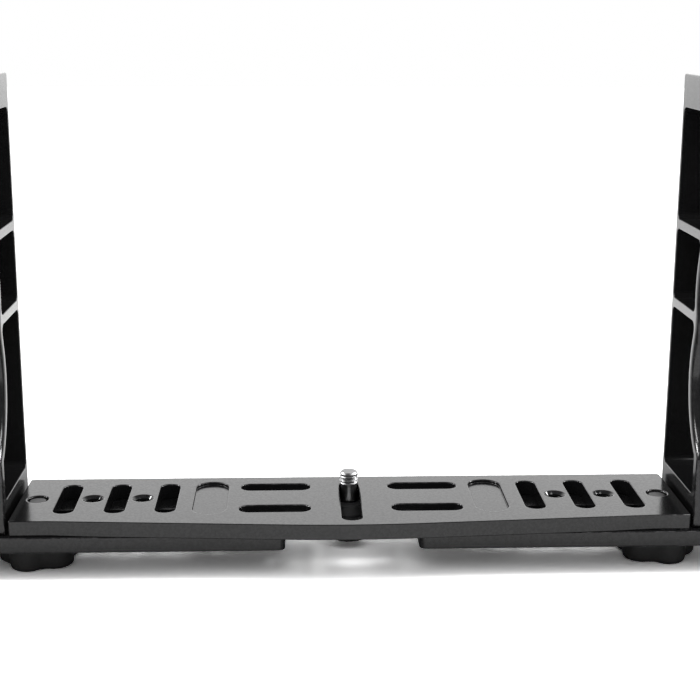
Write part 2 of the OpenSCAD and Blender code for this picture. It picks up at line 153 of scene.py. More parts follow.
class Surface:
    # Collects grids and flat faces and makes one closed mesh of them

    def __init__(self):
        self.points, self.wear, self.faces = [], [], []
        self.count = 0
        self.lowEdges, self.highEdges = [], []

    def add(self, points, wear):
        # Stores points and gives their numbers in an array of the same form
        points = np.asarray(points, float)
        numbers = self.count + np.arange(points.size // 3).reshape(points.shape[:-1])
        self.points.append(points.reshape(-1, 3))
        self.wear.append(np.broadcast_to(wear, points.shape[:-1]).ravel())
        self.count += numbers.size
        return numbers

    def grid(self, rings, wear=0.0, left=()):
        # Joins every closed ring to the next by four-cornered faces, apart from those left out
        near = self.add(rings, wear)
        far = np.roll(near, -1, axis=1)
        quads = np.stack([near[:-1], far[:-1], far[1:], near[1:]], axis=-1)
        kept = np.ones(quads.shape[:2], bool)
        for row, column in left:
            kept[row, column] = False
        self.faces += quads[kept].tolist()

    def flat(self, *loops):
        # Fills the flat space inside the first loop and outside the others with triangles
        points = np.concatenate(loops)
        numbers = self.add(points, 0.0)
        widest = np.sort(np.argsort(np.ptp(points, axis=0))[1:])
        outlines = [np.pad(loop[:, widest], ((0, 0), (0, 1))).tolist() for loop in loops]
        triangles = np.array(tessellate_polygon(outlines))
        self.faces += numbers[triangles].tolist()

    def panel(self, rings, row, column, *holes):
        # Fills one face that a grid left out, round the holes that are given
        column = column % rings.shape[1]
        after = (column + 1) % rings.shape[1]
        columns = [column, after]
        corners = [*rings[row, columns], *rings[row + 1, columns[::-1]]]
        self.flat(np.array(corners), *holes)

    def wall(self, rings, wear=0.0, left=()):
        # A grid whose first and last rings are edges of the two flat faces that close it
        self.grid(rings, wear, left)
        self.lowEdges.append(rings[0])
        self.highEdges.append(rings[-1])

    def close(self):
        # The two flat faces, with the later walls as holes in the first
        self.flat(*self.lowEdges)
        self.flat(*self.highEdges)

    def build(self, name, material, body, node, slot, mirrored=False):
        # Turns what was collected into a closed mesh with its finish and its place in the frame
        points = np.concatenate(self.points) * mm
        if mirrored:
            points = points * (-1, 1, 1)
        mesh = bpy.data.meshes.new(name)
        mesh.from_pydata(points.tolist(), [], self.faces)
        wear = mesh.attributes.new("edgeMask", "FLOAT", "POINT")
        wear.data.foreach_set("value", np.concatenate(self.wear).astype(np.float32))
        work = bmesh.new()
        work.from_mesh(mesh)
        bmesh.ops.remove_doubles(work, verts=work.verts, dist=meshing["weld"] * mm)
        bmesh.ops.recalc_face_normals(work, faces=work.faces)
        openEdges = sum(1 for edge in work.edges if not edge.is_manifold)
        work.to_mesh(mesh)
        work.free()
        mesh.shade_smooth()
        mesh.set_sharp_from_angle(angle=math.radians(meshing["sharpAngle"]))
        mesh.materials.append(material)
        piece = bpy.data.objects.new(name, mesh)
        bpy.context.collection.objects.link(piece)
        shading = piece.modifiers.new("evenShading", "WEIGHTED_NORMAL")
        shading.keep_sharp = True
        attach(piece, body)
        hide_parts(node)
        print("made", name, "with", len(mesh.polygons), "faces and", openEdges, "open edges")

    def buildPair(self, name, material, body, node, slot):
        # The right piece, and its mirror image for the left
        for side, mirrored in sides.items():
            self.build(side + name, material, side + body, side + node, slot, mirrored)


# Turned pieces: a radius for every height and angle round an upright axis

def plainRows(values, around=meshing["around"]):
    # One row of equal numbers for each value
    return np.repeat(np.array(values, float)[:, None], around, axis=1)


def turnedRings(centre, heights, radii, turn=0.0, around=meshing["around"]):
    # Rings about an axis: centre plus radius times cosine and sine, at each height; the radii
    # are one for each height, or one for each height and angle
    angle = math.radians(turn) + 2 * math.pi * np.arange(around) / around
    if np.ndim(radii[0]) == 0:
        radii = plainRows(radii, around)
    return np.stack([
        centre[0] + radii * np.cos(angle), centre[1] + radii * np.sin(angle),
        plainRows(heights, around)
    ], axis=-1)


def turnedSolid(centre, heights, radii, turn=0.0, around=meshing["around"], wear=0.0):
    # Rings about an axis, with a flat face at both ends
    body = Surface()
    body.wall(turnedRings(centre, heights, radii, turn, around), wear)
    body.close()
    return body


def hexagonRadius(flats, around=meshing["around"]):
    # Half the width across flats, divided by the cosine of the angle from the nearest flat
    angle = 360 * np.arange(around) / around
    return flats / 2 / np.cos(np.radians(angle % 60 - 30))


def easeIn(value):
    # Smooth step from nought to one
    value = np.clip(value, 0, 1)
    return value * value * (3 - 2 * value)


thread = {
    "pitch": 1.27,  # a quarter-inch camera thread has 20 turns to the inch
    "finePitch": 0.8,
    "levelsPerTurn": 10,
    "fade": 0.9,  # turns over which the thread runs out
    "flat": 0.075,  # share of the depth cut off at crest and root
}


def threadHeights(low, high, pitch):
    # Even levels, about as many for each turn as the thread asks for
    count = max(2, int(round((high - low) / pitch * thread["levelsPerTurn"])))
    return np.linspace(low, high, count + 1)


def threadRadii(heights, inner, outer, pitch, plain):
    # The radius swings between inner and outer as a triangle wave of height over pitch less the
    # angle's share of a turn, which is a helix, and fades to the plain radius at both ends
    share = np.arange(meshing["around"]) / meshing["around"]
    phase = (heights[:, None] / pitch - share) % 1
    flat = thread["flat"]
    wave = np.clip((1 + 2 * flat) * np.abs(2 * phase - 1) - flat, 0, 1)
    run = np.minimum(heights - heights[0], heights[-1] - heights) / (pitch * thread["fade"])
    strength = easeIn(run)[:, None]
    return plain + strength * (inner + (outer - inner) * wave - plain)


def threadedEnd(screw, start, end, plain, pitch=thread["pitch"]):
    # Heights and radii of a screw's thread from its start, and of the cone that cuts its point
    radius = screw["radius"]
    levels = threadHeights(start, end - screw["point"], pitch)
    radii = threadRadii(levels, radius - screw["threadDepth"], radius, pitch, plain)
    return np.append(levels, end), np.concatenate([radii, plainRows([radius - screw["point"]])])


# Finishes

def nodeGroup(name, inputs, outputs):
    # An empty shader group that reads a vector and the numbers named with their defaults
    group = bpy.data.node_groups.new(name, "ShaderNodeTree")
    newSocket = group.interface.new_socket
    newSocket("Vector", in_out="INPUT", socket_type="NodeSocketVector")
    for label, value in inputs.items():
        newSocket(label, in_out="INPUT", socket_type="NodeSocketFloat").default_value = value
    for label in outputs:
        newSocket(label, in_out="OUTPUT", socket_type="NodeSocketFloat")
    given = group.nodes.new("NodeGroupInput").outputs
    return group, given, group.nodes.new("NodeGroupOutput")


def addNode(tree, kind, inputs, **settings):
    # A new node with its settings and inputs
    node = tree.nodes.new(kind)
    for key, value in settings.items():
        setattr(node, key, value)
    fillInputs(tree, node, inputs)
    return node


def fillInputs(tree, node, inputs):
    # Links each input whose value is a socket, and sets the others
    for key, value in inputs.items():
        if isinstance(value, bpy.types.NodeSocket):
            tree.links.new(value, node.inputs[key])
        else:
            node.inputs[key].default_value = value


def mathNode(tree, operation, first, second=0.0):
    # One operation on two values, where each is a socket or a number
    return addNode(tree, "ShaderNodeMath", {0: first, 1: second}, operation=operation).outputs[0]


def smoothRange(tree, value, limits, results, curve="SMOOTHSTEP"):
    # Smooth step, or a straight line, from one result to the other between two limits
    inputs = {"Value": value, "From Min": limits[0], "From Max": limits[1],
              "To Min": results[0], "To Max": results[1]}
    return addNode(tree, "ShaderNodeMapRange", inputs, interpolation_type=curve).outputs["Result"]


def mixColours(tree, share, first, second):
    # The first colour where the share is nought, the second where it is one
    inputs = {"Factor": share, "A": first, "B": second}
    return addNode(tree, "ShaderNodeMix", inputs, data_type="RGBA").outputs["Result"]


def objectPlace(tree):
    # Coordinates of the object itself
    return addNode(tree, "ShaderNodeTexCoord", {}).outputs["Object"]


shading = {
    "fineDetail": 3.0, "coarseDetail": 2.0, "coarseScale": 0.22, "coarseShare": 0.4,
    "patchScale": 300.0, "patchDetail": 4.0, "patchRoughness": 0.65,
    "patchLimits": (0.42, 0.72),  # noise between bare of wear and fully worn
    "slowDetail": 3.0, "slowLimits": (0.3, 0.7),
    "mottleLimits": (0.35, 0.65),
}


def addNoise(tree, vector, scale, detail, roughness=0.5):
    # Noise on a vector, between nought and one
    inputs = {"Vector": vector, "Scale": scale, "Detail": detail, "Roughness": roughness}
    return addNode(tree, "ShaderNodeTexNoise", inputs).outputs["Fac"]


def makeGrainGroup():
    # Two sizes of noise laid over each other, as bead blasting or a moulded skin leaves
    group, given, result = nodeGroup("fineGrain", {"Scale": 4000.0},
                                     ["Height", "Speckle", "Mottle"])
    fine = addNoise(group, given["Vector"], given["Scale"], shading["fineDetail"])
    coarseScale = mathNode(group, "MULTIPLY", given["Scale"], shading["coarseScale"])
    coarse = addNoise(group, given["Vector"], coarseScale, shading["coarseDetail"])
    share = mathNode(group, "MULTIPLY", coarse, shading["coarseShare"])
    height = mathNode(group, "ADD", fine, share)
    fillInputs(group, result, {"Height": height, "Speckle": fine, "Mottle": coarse})
    return group


def makeWearGroup():
    # The rounded edges' mask, broken up by noise, so that paint or dye is thin here and there
    group, given, result = nodeGroup("edgeWear", {"Edge": 0.0, "Amount": 0.5}, ["Wear"])
    patch = addNoise(group, given["Vector"], shading["patchScale"], shading["patchDetail"],
                     shading["patchRoughness"])
    spread = smoothRange(group, patch, shading["patchLimits"], (0, 1))
    wear = mathNode(group, "MULTIPLY", spread, given["Edge"])
    wear = mathNode(group, "MULTIPLY", wear, given["Amount"])
    fillInputs(group, result, {"Wear": wear})
    return group


def makeVariationGroup():
    # A slow noise spread between two values, for roughness or gloss that isn't quite even
    group, given, result = nodeGroup("slowVariation", {"Scale": 60.0, "Low": 0.25, "High": 0.3},
                                     ["Value"])
    noise = addNoise(group, given["Vector"], given["Scale"], shading["slowDetail"])
    spread = smoothRange(group, noise, shading["slowLimits"], (given["Low"], given["High"]),
                         "LINEAR")
    fillInputs(group, result, {"Value": spread})
    return group


grainGroup = makeGrainGroup()
wearGroup = makeWearGroup()
variationGroup = makeVariationGroup()


def placeGroup(tree, group, **inputs):
    # Puts a shared group into a material with its own values
    return addNode(tree, "ShaderNodeGroup", inputs, node_tree=group).outputs


def makeFinish(name, look):
    # A base colour that changes a little over the surface, worn to another colour along the
    # rounded edges, with grain as bump and roughness that isn't quite even
    material = bpy.data.materials.new(name)
    material.use_nodes = True
    tree = material.node_tree
    vector = objectPlace(tree)
    edge = addNode(tree, "ShaderNodeAttribute", {}, attribute_name="edgeMask").outputs["Fac"]
    low, high = look["roughness"]
    grain = placeGroup(tree, grainGroup, Vector=vector, Scale=look["grainScale"])
    wear = placeGroup(tree, wearGroup, Vector=vector, Edge=edge, Amount=look["wear"])
    rough = placeGroup(tree, variationGroup, Vector=vector, Scale=look["slowScale"], Low=low,
                       High=high)
    tone = mixColours(tree, grain["Speckle"], (*look["colour"], 1), (*look["colourLight"], 1))
    bump = addNode(tree, "ShaderNodeBump", {
        "Strength": look["bumpStrength"], "Distance": look["bumpHeight"] * mm,
        "Height": grain["Height"],
    })
    inputs = {
        "Base Color": mixColours(tree, wear["Wear"], tone, (*look["wornColour"], 1)),
        "Roughness": rough["Value"],
        "Metallic": wear["Wear"] if look["wornMetal"] else look.get("metallic", 0.0),
        "IOR": look.get("ior", 1.5),
        "Normal": bump.outputs["Normal"],
    }
    if "coat" in look:
        # Light that two polished faces reflect in turn loses most of its strength at low angles
        mottled = smoothRange(tree, grain["Mottle"], shading["mottleLimits"], look["coat"])
        again = addNode(tree, "ShaderNodeLightPath", {}).outputs["Is Glossy Ray"]
        kept = mathNode(tree, "SUBTRACT", 1.0, mathNode(tree, "MULTIPLY", again, look["coatLoss"]))
        dulled = mathNode(tree, "MULTIPLY", again, look["dulled"])
        inputs["Roughness"] = mathNode(tree, "MAXIMUM", rough["Value"], dulled)
        inputs["Coat Weight"] = mathNode(tree, "MULTIPLY", mottled, kept)
        inputs["Coat IOR"] = look["coatIor"]
        inputs["Coat Roughness"] = look["coatRoughness"]
    fillInputs(tree, tree.nodes["Principled BSDF"], inputs)
    return material


anodised = {
    "colour": (0.005, 0.005, 0.0053), "colourLight": (0.009, 0.009, 0.0094),
    "wornColour": (0.55, 0.55, 0.56), "wornMetal": True, "wear": 0.12,
    "roughness": (0.17, 0.21), "grainScale": 5200.0, "slowScale": 45.0,
    "bumpStrength": 0.25, "bumpHeight": 0.003, "ior": 1.15,
    "coat": (0.85, 1.0), "coatIor": 1.5, "coatRoughness": 0.17,
    "coatLoss": 0.9, "dulled": 0.7,  # in another face's gloss
}
plastic = {
    "colour": (0.014, 0.014, 0.0145), "colourLight": (0.024, 0.024, 0.0245),
    "wornColour": (0.03, 0.03, 0.03), "wornMetal": False, "wear": 0.6,
    "roughness": (0.46, 0.56), "grainScale": 2600.0, "slowScale": 120.0,
    "bumpStrength": 0.5, "bumpHeight": 0.02,
}
blackOxide = {
    "colour": (0.012, 0.012, 0.013), "colourLight": (0.022, 0.022, 0.023),
    "wornColour": (0.45, 0.44, 0.43), "wornMetal": True, "wear": 0.3,
    "roughness": (0.3, 0.4), "grainScale": 4200.0, "slowScale": 200.0,
    "bumpStrength": 0.3, "bumpHeight": 0.004,
}
stainless = {
    "colour": (0.3, 0.3, 0.305), "colourLight": (0.4, 0.4, 0.405),
    "wornColour": (0.6, 0.6, 0.6), "wornMetal": False, "metallic": 1.0, "wear": 0.3,
    "roughness": (0.3, 0.42), "grainScale": 3400.0, "slowScale": 240.0,
    "bumpStrength": 0.25, "bumpHeight": 0.003,
}
nylon = {
    "colour": (0.011, 0.011, 0.0115), "colourLight": (0.018, 0.018, 0.0185),
    "wornColour": (0.04, 0.04, 0.04), "wornMetal": False, "wear": 0.4,
    "roughness": (0.38, 0.5), "grainScale": 1800.0, "slowScale": 200.0,
    "bumpStrength": 0.4, "bumpHeight": 0.01,
}
finishes = {
    "tray": makeFinish("trayAnodised", anodised),
    "arm": makeFinish("armAnodised", anodised),
    "handle": makeFinish("handleAnodised", anodised),
    "knob": makeFinish("knobPlastic", plastic),
    "handleScrew": makeFinish("blackOxideSteel", blackOxide),
    "cameraHead": makeFinish("cameraHeadBlack", blackOxide),
    "bolt": makeFinish("boltBlackOxide", blackOxide),
    "cameraScrew": makeFinish("cameraScrewSteel", stainless),
    "washer": makeFinish("washerStainless", stainless),
    "nylon": makeFinish("nylonBlack", nylon),
}
print("finishes made:", len(finishes))

# Tray plate
tray = {
    "endDepth": 40.5, "endFlat": 12.0, "bowHalf": 22.0, "frontCorner": 0.5, "backCorner": 1.2,
    "frontSteps": 6, "backSteps": 8, "bowSteps": 24,
    "edge": 0.24, "holeEdge": 0.35,
    "edgeWear": 0.1, "cornerWear": 8.0,  # of the finish's own wear
    "lineDepth": 20.0,  # depth of the line through the cross slots and tapped holes
    "slotWidth": 6.5, "crossLength": 27.2, "crossStart": 59.05, "crossPitch": 16.0, "crosses": 3,
    "longLength": 22.8, "longOffset": 24.25, "longDepths": (10.2, 30.9),
    "screwDepth": 9.1, "screwTravel": 30.0,
    "recessOffset": 45.1, "recessWidth": 10.7, "recessLength": 30.6, "recessCut": 1.0,
    "recessFillet": 0.15, "recessSteps": 24,
    "tapRadius": 2.55, "tapDepth": 0.6, "tapChamfer": 0.3,
    "sinkRadius": 3.5, "sinkSoft": 0.1, "sinkWear": 0.3,
    "studOffset": 100.8, "studRadius": 3.25, "studEdge": 0.5, "studSteps": 32,
}
lineY = depthY(tray["lineDepth"])


def trayOutline():
    # Seen from above: straight ends, sloping shoulders, and a circle's arc between the slopes
    front = depthY(tray["endDepth"])
    rise = front - trayLow[1]
    run = halfTray - tray["endFlat"] - tray["bowHalf"]
    bow = math.atan(rise / (run + tray["bowHalf"] / 2))
    bowRadius = tray["bowHalf"] / math.sin(bow)
    bowCentre = (0, trayLow[1] + bowRadius)
    turn = math.degrees(bow)
    near, far = tray["frontCorner"], tray["backCorner"]
    nearSteps, farSteps = tray["frontSteps"], tray["backSteps"]
    ends = halfTray - tray["endFlat"]
    return np.concatenate([
        arc((-halfTray + near, front + near), near, 180, 270, nearSteps),
        [(-ends, front)],
        arc(bowCentre, bowRadius, 270 - turn, 270 + turn, tray["bowSteps"]),
        [(ends, front)],
        arc((halfTray - near, front + near), near, 270, 360, nearSteps),
        arc((halfTray - far, backY - far), far, 0, 90, farSteps),
        arc((-halfTray + far, backY - far), far, 90, 180, farSteps),
    ])


def wornCorners(outline):
    # The front corners, where the finish is worn off, the right one as far as the straight edge
    x, y = outline.T
    front = y < depthY(tray["endDepth"]) + tray["frontCorner"]
    return front & ((x > halfTray - tray["endFlat"] / 2) | (x < tray["frontCorner"] / 2 - halfTray))


def tappedRings(centre, low, high):
    # A wall from a small chamfer at the bottom, threaded outwards from the bore, up to a plain
    # cone at the top that widens at 45 degrees to the countersink's rim
    sink, radius = tray["sinkRadius"], tray["tapRadius"]
    soft, support = tray["sinkSoft"], meshing["support"]
    bottom = radius + tray["tapChamfer"]
    levels = threadHeights(low + tray["tapChamfer"], high - (sink - radius), thread["pitch"])
    heights = np.concatenate([[low, low], levels, [high - soft, high, high]])
    radii = np.concatenate([
        plainRows([bottom + support, bottom]),
        threadRadii(levels, radius, radius + tray["tapDepth"], thread["pitch"], radius),
        plainRows([sink - soft, sink + soft / 2, sink + soft + support]),
    ])
    wear = np.zeros((len(heights), 1))
    wear[-3:-1] = tray["sinkWear"]
    return turnedRings(centre, heights, radii), wear


def makeTray():
    # The outline's wall and every hole's wall, joined by one flat face below and one above; the
    # recesses have their own floors
    low, high = trayLow[2], trayHigh[2]
    edge = -tray["holeEdge"]
    plate = Surface()

    def hole(loop, topEdge=edge):
        # A hole with rounded rims right through the plate
        plate.wall(*wallRings(loop, low, high, edge, topEdge))

    outline = trayOutline()
    rings, wear = wallRings(outline, low, high, tray["edge"], tray["edge"])
    plate.wall(rings, wear * np.where(wornCorners(outline), tray["cornerWear"], tray["edgeWear"]))
    for side in (-1, 1):
        for k in range(tray["crosses"]):
            x = side * (tray["crossStart"] + k * tray["crossPitch"])
            hole(slotOutline(x, lineY, tray["crossLength"], tray["slotWidth"], alongY=True))
        for depth in tray["longDepths"]:
            hole(slotOutline(side * tray["longOffset"], depthY(depth), tray["longLength"],
                             tray["slotWidth"]))
        for k in range(tray["crosses"] - 1):
            x = side * (tray["crossStart"] + (k + 0.5) * tray["crossPitch"])
            plate.wall(*tappedRings((x, lineY), low, high))
        stud = arc((side * tray["studOffset"], lineY), tray["studRadius"], -90, 270,
                   2 * tray["studSteps"])
        hole(stud[:-1], -tray["studEdge"])
        recess = slotOutline(side * tray["recessOffset"], lineY, tray["recessLength"],
                             tray["recessWidth"], alongY=True, steps=tray["recessSteps"])
        rings, wear = wallRings(recess, high - tray["recessCut"], high, tray["recessFillet"], edge)
        plate.grid(rings, wear)
        plate.flat(rings[0])
        plate.highEdges.append(rings[-1])
    hole(slotOutline(0, depthY(tray["screwDepth"] + tray["screwTravel"] / 2),
                     tray["screwTravel"] + tray["slotWidth"], tray["slotWidth"], alongY=True))
    plate.close()
    plate.build("trayPlate", finishes["tray"], "tray", "tray_plate", "tray_black_anodised")


makeTray()

# Handles
handle = {
    "grooves": 3, "grooveRadius": 31.0, "grooveStart": 48.0, "groovePitch": 27.0,
    "grooveDepth": 28.5, "grooveStep": 1.7, "ridgeRadius": 24.0, "gripCorner": 5.0,
    "gripRounding": 2.5, "leastShare": 0.2, "fade": 8.0, "fadeReach": 2.0,
    "frontWall": 3.5, "backWall": 1.8, "ribThickness": 3.0,
    "lowerRibTop": 67.0, "upperRibTop": 93.0, "footBlock": 10.2, "headBlock": 10.5,
    "windowRadius": 2.2, "windowEdge": 0.25, "topCorner": 3.0, "footCorner": 0.8,
    "footEdge": 1.0, "footFade": 3.0,  # rounding of the foot's upright front edges
    "screwRadius": 2.53, "screwSpacing": 22.0, "screwBore": 8.5, "screwChamfer": 0.3,
    "edgeSteps": 8, "gripSteps": (8, 36, 18, 36, 18, 36, 8),
    "cornerSteps": 4, "topSteps": 8, "windowSteps": 8, "footRows": 16,
}
handleMiddle = handleLow[0] + handleWidth / 2
screwPlaces = [  # front and rear screw of a handle
    (handleMiddle, lineY + sign * handle["screwSpacing"] / 2) for sign in (-1, 1)
]


def gripCircles():
    # The grip's front is a chain of tangent circles: a corner, then grooves with ridges between
    # them, then a corner. A groove counts as a negative radius
    r, ridge, corner = (handle[key] for key in ("grooveRadius", "ridgeRadius", "gripCorner"))
    first = np.array((handle["grooveDepth"] + r, handle["grooveStart"]))
    step = np.array((handle["grooveStep"], handle["groovePitch"]))
    grooves = [first + k * step for k in range(handle["grooves"])]

    def cornerCentre(groove, side):
        # A right triangle with the sum of both radii as its long side
        offset = groove[0] - (handleDepth - corner)
        rise = math.sqrt((r + corner) ** 2 - offset ** 2)
        return np.array((handleDepth - corner, groove[1] + side * rise))

    def ridgeCentre(first, second):
        # In front of the middle between two grooves, by the same triangle
        half = np.linalg.norm(second - first) / 2
        along = (second - first) / (2 * half)
        away = math.sqrt((r + ridge) ** 2 - half ** 2)
        return (first + second) / 2 + away * np.array((-along[1], along[0]))

    chain = [(cornerCentre(grooves[0], -1), corner), (grooves[0], -r)]
    for before, groove in zip(grooves, grooves[1:]):
        chain += [(ridgeCentre(before, groove), ridge), (groove, -r)]
    return chain + [(cornerCentre(grooves[-1], 1), corner)]


gripChain = gripCircles()


def gripCurve(inset=0.0):
    # Points of depth and height along the chain, moved in by the inset
    curve = []
    last = len(gripChain) - 1

    def angleTo(k, j):
        # Direction from one centre to another, in degrees
        away = gripChain[j][0] - gripChain[k][0]
        angle = math.degrees(math.atan2(away[1], away[0]))
        return angle % 360 if gripChain[k][1] < 0 else angle

    for k, (centre, radius) in enumerate(gripChain):
        start = 0 if k == 0 else angleTo(k, k - 1)
        end = 0 if k == last else angleTo(k, k + 1)
        size = abs(radius) - math.copysign(inset, radius)
        points = arc(centre, size, start, end, handle["gripSteps"][k])
        curve.append(points if k == last else points[:-1])
    return np.concatenate(curve)


def roundingAt(height):
    # The full rounding along the grip, fading by a smooth step to its least share at both ends
    low = (height - gripChain[0][0][1] + handle["fadeReach"]) / handle["fade"]
    high = (gripChain[-1][0][1] + handle["fadeReach"] - height) / handle["fade"]
    share = handle["leastShare"] + (1 - handle["leastShare"]) * easeIn(np.minimum(low, high))
    return handle["gripRounding"] * share


def handleOutline():
    # Depth and height of the sawn section: foot, grip, head and straight back
    soft, top = handle["footCorner"], handle["topCorner"]
    steps = handle["cornerSteps"]
    grip = gripCurve()
    rise = np.linspace(soft, grip[0][1], handle["footRows"])[1:-1]
    return np.concatenate([
        arc((soft, soft), soft, 180, 270, steps),
        arc((handleDepth - soft, soft), soft, 270, 360, steps),
        np.stack([np.full_like(rise, handleDepth), rise], axis=1),
        grip,
        arc((handleDepth - top, handleHeight - top), top, 0, 90, handle["topSteps"]),
        arc((soft, handleHeight - soft), soft, 90, 180, steps),
    ])


def windowOutline(low, high):
    # Straight sill, ceiling and back; the front follows the grip, one wall's thickness inside
    r, back = handle["windowRadius"], handle["backWall"]
    front = gripCurve(handle["frontWall"])
    inside = (front[:, 1] > low + r) & (front[:, 1] < high - r)
    straight = low + r < gripChain[0][0][1]
    start = handleDepth - handle["frontWall"] if straight else front[inside][0][0]
    finish = front[inside][-1][0]
    steps = handle["windowSteps"]
    return np.concatenate([
        arc((back + r, low + r), r, 180, 270, steps),
        arc((start - r, low + r), r, 270, 360, steps),
        front[inside],
        arc((finish - r, high - r), r, 0, 90, steps),
        arc((back + r, high - r), r, 90, 180, steps),
    ])


def placeHandle(rings):
    # From depth, height and distance across to the handle's place
    return np.stack([
        handleLow[0] + rings[..., 2], backY - rings[..., 0], handleLow[2] + rings[..., 1]
    ], axis=-1)


def makeHandles():
    # The outline's wall and the windows' walls run across, joined by one flat face at each side;
    # the screw holes and the tapped hole open in the foot, the head and the top window's ceiling
    body = Surface()
    steps = handle["edgeSteps"]
    outline = handleOutline()
    depth, height = outline.T
    upright = easeIn((height - handle["footCorner"]) / handle["footFade"])
    upright *= depth > handleDepth / 2
    rounding = np.maximum(roundingAt(height), handle["footEdge"] * upright)
    outer, wear = wallRings(outline, 0, handleWidth, rounding, rounding, steps)
    outer = placeHandle(outer)
    footColumn = handle["cornerSteps"]  # the outline's edge along the foot
    topColumn = len(outline) - handle["cornerSteps"] - 2  # and along the head
    span = wallSpan(steps)
    body.wall(outer, wear, left=((span, footColumn), (span, topColumn)))

    windows = [
        (handle["footBlock"], handle["lowerRibTop"] - handle["ribThickness"]),
        (handle["lowerRibTop"], handle["upperRibTop"] - handle["ribThickness"]),
        (handle["upperRibTop"], handleHeight - handle["headBlock"]),
    ]
    edge = -handle["windowEdge"]
    for k, (low, high) in enumerate(windows):
        loop = windowOutline(low, high)
        rings, wear = wallRings(loop, 0, handleWidth, edge, edge)
        rings = placeHandle(rings)
        ceiling = len(loop) - handle["windowSteps"] - 2
        isTop = k == len(windows) - 1
        body.wall(rings, wear, left=((wallSpan(), ceiling),) if isTop else ())
    body.close()

    top = handleHigh[2]
    tapped, wear = tappedRings((handleMiddle, lineY), top - handle["headBlock"], top)
    body.grid(tapped, wear)
    body.panel(rings, wallSpan(), ceiling, tapped[0])
    body.panel(outer, span, topColumn, tapped[-1])

    foot, radius = handleLow[2], handle["screwRadius"]
    chamfer = handle["screwChamfer"]
    mouth = radius + chamfer
    bores = []
    for place in screwPlaces:
        bore = turnedRings(place, [foot, foot, foot + chamfer, foot + handle["screwBore"]],
                           [mouth + meshing["strip"], mouth, radius, radius])
        body.grid(bore)
        body.flat(bore[-1])
        bores.append(bore[0])
    body.panel(outer, span, footColumn, *bores)
    body.buildPair("Handle", finishes["handle"], "_arm", "_handle", "handle_black_anodised")


makeHandles()

# Arm plates
armPlate = {
    "cornerRadius": 2.0, "cornerSteps": 8, "edge": 0.3,
    "slotWidth": 6.6, "slotMiddle": 70.8, "slotLength": 66.6,
    "sinkRadius": 5.05, "screwRadius": 2.53, "sinkDepth": 2.55, "screwChamfer": 0.2,
}


def makeArmPlates():
    # A rounded rectangle's wall, a slot's wall and two countersunk holes, open at both faces
    low, high = armLow[2], armHigh[2]
    edge = armPlate["edge"]
    loop = softBox(armLow[0], armHigh[0], armLow[1], armHigh[1], armPlate["cornerRadius"],
                   armPlate["cornerSteps"])
    plate = Surface()
    plate.wall(*wallRings(loop, low, high, edge, edge))
    slot = slotOutline(armPlate["slotMiddle"], lineY, armPlate["slotLength"],
                       armPlate["slotWidth"])
    plate.wall(*wallRings(slot, low, high, -edge, -edge))
    sink, bore, chamfer = (armPlate[key] for key in ("sinkRadius", "screwRadius", "screwChamfer"))
    strip, mouth = meshing["strip"], bore + chamfer
    heights = [low, low, low + armPlate["sinkDepth"], high - chamfer, high, high]
    for place in screwPlaces:
        radii = [sink + strip, sink, bore, bore, mouth, mouth + strip]
        plate.wall(turnedRings(place, heights, radii))
    plate.close()
    plate.buildPair("ArmPlate", finishes["arm"], "_arm", "_arm_plate", "arm_black_anodised")


makeArmPlates()

# Clamping knobs, their bolts and washers
knob = {
    "lobes": 5, "radius": 12.2, "wave": 1.2, "valley": 0.15, "height": 8.7, "rounding": 1.6,
    "hubRadius": 8.5, "turn": -69.0, "pocketFlats": 11.14, "pocketDepth": 5.2,
    "boreRadius": 3.195, "edge": 0.25, "strip": 0.4, "hubStrip": 0.3,
    "around": 240, "rimSteps": 8, "rimWear": 0.5, "pocketWear": 0.6,
}
bolt = {
    "flats": 11.1, "headHeight": 4.0, "radius": 3.175, "threadDepth": 0.7, "point": 0.6,
    "crownAngle": 30.0, "crownInside": 0.15, "crownWidth": 1.05, "crownSteps": 6,
    "shankCut": 0.1,  # how much thinner the shank is where the thread has run out
    "washerEdge": 0.15,
}
studPlace = (tray["studOffset"], lineY)


